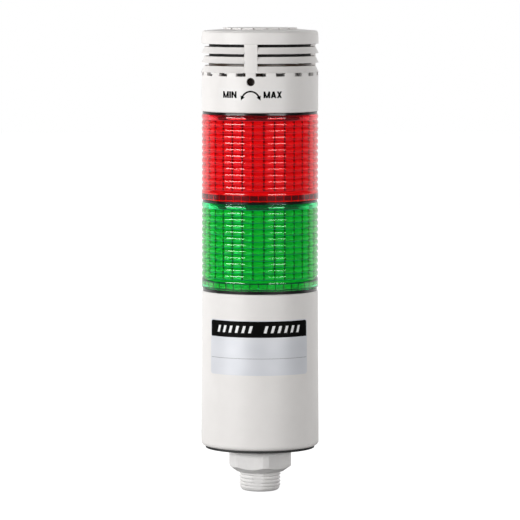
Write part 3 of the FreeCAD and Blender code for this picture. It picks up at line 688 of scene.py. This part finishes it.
def print_shapes(name, shapes, radius_at, turn, material, body):
    """Flat shapes, each a list of (across, up) points in metres, laid on a round wall."""
    mesh = bpy.data.meshes.new(name)
    work = bmesh.new()
    for shape in shapes:
        corners = [work.verts.new((x, 0, z)) for x, z in shape]
        work.faces.new(corners)
    bmesh.ops.triangulate(work, faces=work.faces)
    for vert in work.verts:
        height = vert.co.z
        radius = radius_at(height)
        vert.co = rotated(radius, turn + vert.co.x / radius, height)
    work.to_mesh(mesh)
    work.free()
    mesh.materials.append(material)
    add_object(name, mesh, body)


def slanted_bars():
    """Two groups of plain slanted bars on the black band."""
    middle = (BAND_LOW + LABEL_HIGH - BAND_INSET) / 2
    low, high = middle - BAR_HEIGHT / 2, middle + BAR_HEIGHT / 2
    lean = math.tan(BAR_SLANT) * BAR_HEIGHT / 2
    half = BAR_WIDTH / 2
    shapes = []
    for group in (-1, 1):
        for k in range(BARS_PER_GROUP):
            x = group * BAR_GROUP_SHIFT + BAR_PITCH * (k - (BARS_PER_GROUP - 1) / 2)
            shapes.append([
                (x - half - lean, low), (x + half - lean, low),
                (x + half + lean, high), (x - half + lean, high),
            ])
    return shapes


print_shapes("label_bars", slanted_bars(), lifted(label_print, PRINT_LIFT), 0.0, white_ink, "base")

# The film on the head, and its marks.
wrapped_sheet("volume_film", FILM_HALF_ANGLE, FILM_LOW, FILM_HIGH, FILM_CORNER, FILM_CORNER,
              film_face, HEAD_TURN, film, "head")
film_print = lifted(film_face, PRINT_LIFT)


def stroke(x1, z1, x2, z2, width):
    """A straight stroke with level ends, whose width is measured across the page."""
    half = width / 2
    if z1 == z2:
        return [(x1, z1 - half), (x2, z1 - half), (x2, z1 + half), (x1, z1 + half)]
    return [(x1 - half, z1), (x1 + half, z1), (x2 + half, z2), (x2 - half, z2)]


def letter_strokes(letter, width, weight):
    """The letter's strokes in a box of that width and of height 1, from its lower left corner."""
    left, right, middle = weight / 2, width - weight / 2, width / 2
    uprights = [stroke(left, 0, left, 1, weight), stroke(right, 0, right, 1, weight)]
    if letter == "M":
        thin = weight * 0.75
        return uprights + [stroke(left, 1, middle, 0, thin), stroke(right, 1, middle, 0, thin)]
    if letter == "N":
        return uprights + [stroke(left, 1, right, 0, weight * 0.85)]
    if letter == "I":
        return [stroke(middle, 0, middle, 1, weight)]
    if letter == "A":
        inset, bar = width * 0.18, 0.28
        return [stroke(left, 0, middle, 1, weight), stroke(right, 0, middle, 1, weight),
                stroke(inset, bar, width - inset, bar, weight * 0.8)]
    if letter == "X":
        return [stroke(left, 0, right, 1, weight), stroke(left, 1, right, 0, weight)]
    raise ValueError("no strokes for " + letter)


def add_word(name, letters, turn):
    """Letters in a row on the head's film; each has a share of the word's height as its width."""
    row, x = [], 0.0
    for letter, width in letters:
        for shape in letter_strokes(letter, width, LETTER_WEIGHT):
            row.append([(x + across, up) for across, up in shape])
        x += width + LETTER_GAP
    middle = (x - LETTER_GAP) / 2
    foot = WORD_MIDDLE - WORD_HEIGHT / 2
    shapes = []
    for shape in row:
        shapes.append([((x - middle) * WORD_HEIGHT, foot + up * WORD_HEIGHT) for x, up in shape])
    print_shapes(name, shapes, film_print, turn, ink, "head")


add_word("mark_min", (("M", 1.04), ("I", 0.30), ("N", 0.84)), HEAD_TURN - WORD_ANGLE)
add_word("mark_max", (("M", 1.00), ("A", 0.86), ("X", 0.80)), HEAD_TURN + WORD_ANGLE)


def arc_arrow():
    """A bow with an arrow head at each end."""
    radius = (ARROW_HALF_WIDTH ** 2 + ARROW_RISE ** 2) / (2 * ARROW_RISE)
    centre = ARROW_LOW + ARROW_RISE - radius
    spread = math.asin(ARROW_HALF_WIDTH / radius)
    shapes = []
    for k in range(ARROW_STEPS):
        shape = []
        a, b = (-spread + 2 * spread * (k + n) / ARROW_STEPS for n in (0, 1))
        for angle, side in ((a, -1), (b, -1), (b, 1), (a, 1)):
            reach = radius + side * ARROW_STROKE / 2
            shape.append((reach * math.sin(angle), centre + reach * math.cos(angle)))
        shapes.append(shape)
    for side in (-1, 1):
        tip_x, tip_z = side * ARROW_HALF_WIDTH, ARROW_LOW
        along = (side * math.cos(spread), -math.sin(spread))
        across = (-along[1], along[0])
        base_x, base_z = tip_x - along[0] * ARROW_OVERLAP, tip_z - along[1] * ARROW_OVERLAP
        half = ARROW_HEAD / 2
        shapes.append([
            (base_x + across[0] * half, base_z + across[1] * half),
            (base_x - across[0] * half, base_z - across[1] * half),
            (base_x + along[0] * ARROW_HEAD, base_z + along[1] * ARROW_HEAD),
        ])
    return shapes


print_shapes("mark_arrow", arc_arrow(), film_print, HEAD_TURN, ink, "head")


def along_y(owner, socket, **values):
    """How far along Y a place lies, spread over a range."""
    place = add_node(owner, "TexCoord")
    apart = add_node(owner, "SeparateXYZ")
    spread = add_node(owner, "MapRange", **values)
    link(owner, place.outputs[socket], apart.inputs["Vector"])
    link(owner, apart.outputs["Y"], spread.inputs["Value"])
    return spread.outputs["Result"]


def combined(owner, operation, first, second):
    """Two sockets put together by a Math node."""
    made = add_node(owner, "Math")
    made.operation = operation
    link(owner, first, made.inputs[0])
    link(owner, second, made.inputs[1])
    return made.outputs["Value"]


def shown_to(owner, socket, low, high):
    """One for the camera's rays and through the lenses, and in a gloss where the white backdrop
    stands: behind the object, from a low to a high value of the place along Y."""
    path = add_node(owner, "LightPath")
    behind = along_y(owner, socket, From_Min=low, From_Max=high)
    shown = combined(owner, "MULTIPLY", path.outputs["Is Glossy Ray"], behind)
    for kind in ("Is Camera Ray", "Is Transmission Ray"):
        shown = combined(owner, "MAXIMUM", shown, path.outputs[kind])
    return shown


# Floor.
floor_mesh = bpy.data.meshes.new("floor")
sides = ((-1, -1), (1, -1), (1, 1), (-1, 1))
floor_corners = [(FLOOR_REACH * x, FLOOR_REACH * y, cad_low.z) for x, y in sides]
floor_mesh.from_pydata(floor_corners, [], [(0, 1, 2, 3)])
pale_floor = new_material("pale_floor", (0.28, 0.28, 0.28), 0.9, Specular_IOR_Level=0.1)
vary_colour(pale_floor, (0.275, 0.275, 0.275), (0.285, 0.285, 0.285), 0.3)
shader_of(pale_floor).inputs["Emission Color"].default_value = (1, 1, 1, 1)
glow = add_node(pale_floor, "MapRange", To_Min=0.0, To_Max=FLOOR_GLOW)
floor_shown = shown_to(pale_floor, "Object", FLOOR_WHITE_FROM, FLOOR_WHITE_TO)
link(pale_floor, floor_shown, glow.inputs["Value"])
link(pale_floor, glow.outputs["Result"], shader_of(pale_floor).inputs["Emission Strength"])
floor_mesh.materials.append(pale_floor)
add_object("floor", floor_mesh)

# World. As light on the object the backdrop is white behind it and dim on the side of the camera,
# where a studio is dark between its lamps.
world = bpy.data.worlds.new("studio")
bpy.context.scene.world = world
world.use_nodes = True
world.node_tree.nodes.clear()
seen = add_node(world, "Background", Color=(1, 1, 1, 1))
lit = add_node(world, "Background")
fade = along_y(world, "Generated", From_Min=BACKDROP_FROM, From_Max=BACKDROP_TO,
               To_Min=DIM_LIGHT, To_Max=1.0)
link(world, fade, lit.inputs["Strength"])
mix = add_node(world, "MixShader")
link(world, shown_to(world, "Generated", BACKDROP_FROM, BACKDROP_TO), mix.inputs["Fac"])
link(world, lit.outputs["Background"], mix.inputs[1])
link(world, seen.outputs["Background"], mix.inputs[2])
output = add_node(world, "OutputWorld")
link(world, mix.outputs["Shader"], output.inputs["Surface"])


def add_softbox(name, azimuth, elevation, distance, width, height, power, in_gloss):
    """A soft light that faces the object's middle."""
    light = bpy.data.lights.new(name, "AREA")
    light.shape = "RECTANGLE"
    light.size = width
    light.size_y = height
    light.energy = power
    holder = bpy.data.objects.new(name, light)
    bpy.context.scene.collection.objects.link(holder)
    azimuth, elevation = math.radians(azimuth), math.radians(elevation)
    off = rotated(distance * math.cos(elevation), azimuth, distance * math.sin(elevation))
    holder.location = LAMPS_AIM + off
    holder.rotation_mode = "QUATERNION"
    holder.rotation_quaternion = (-off).to_track_quat("-Z", "Y")
    holder.visible_camera = False
    holder.visible_glossy = in_gloss


for lamp in LAMPS:
    add_softbox(*lamp)

camera = bpy.data.cameras.new("camera")
camera.lens = LENS_LENGTH
camera.sensor_width = SENSOR_WIDTH
camera.clip_start = 0.01
camera.clip_end = 50
camera_holder = bpy.data.objects.new("camera", camera)
bpy.context.scene.collection.objects.link(camera_holder)
back = rotated(math.cos(CAMERA_PITCH), CAMERA_AZIMUTH, math.sin(CAMERA_PITCH))
camera_holder.location = LOOK_AT + back * CAMERA_DISTANCE
camera_holder.rotation_mode = "QUATERNION"
camera_holder.rotation_quaternion = (-back).to_track_quat("-Z", "Y")
bpy.context.scene.camera = camera_holder

bpy.context.scene.view_settings.view_transform = "Standard"
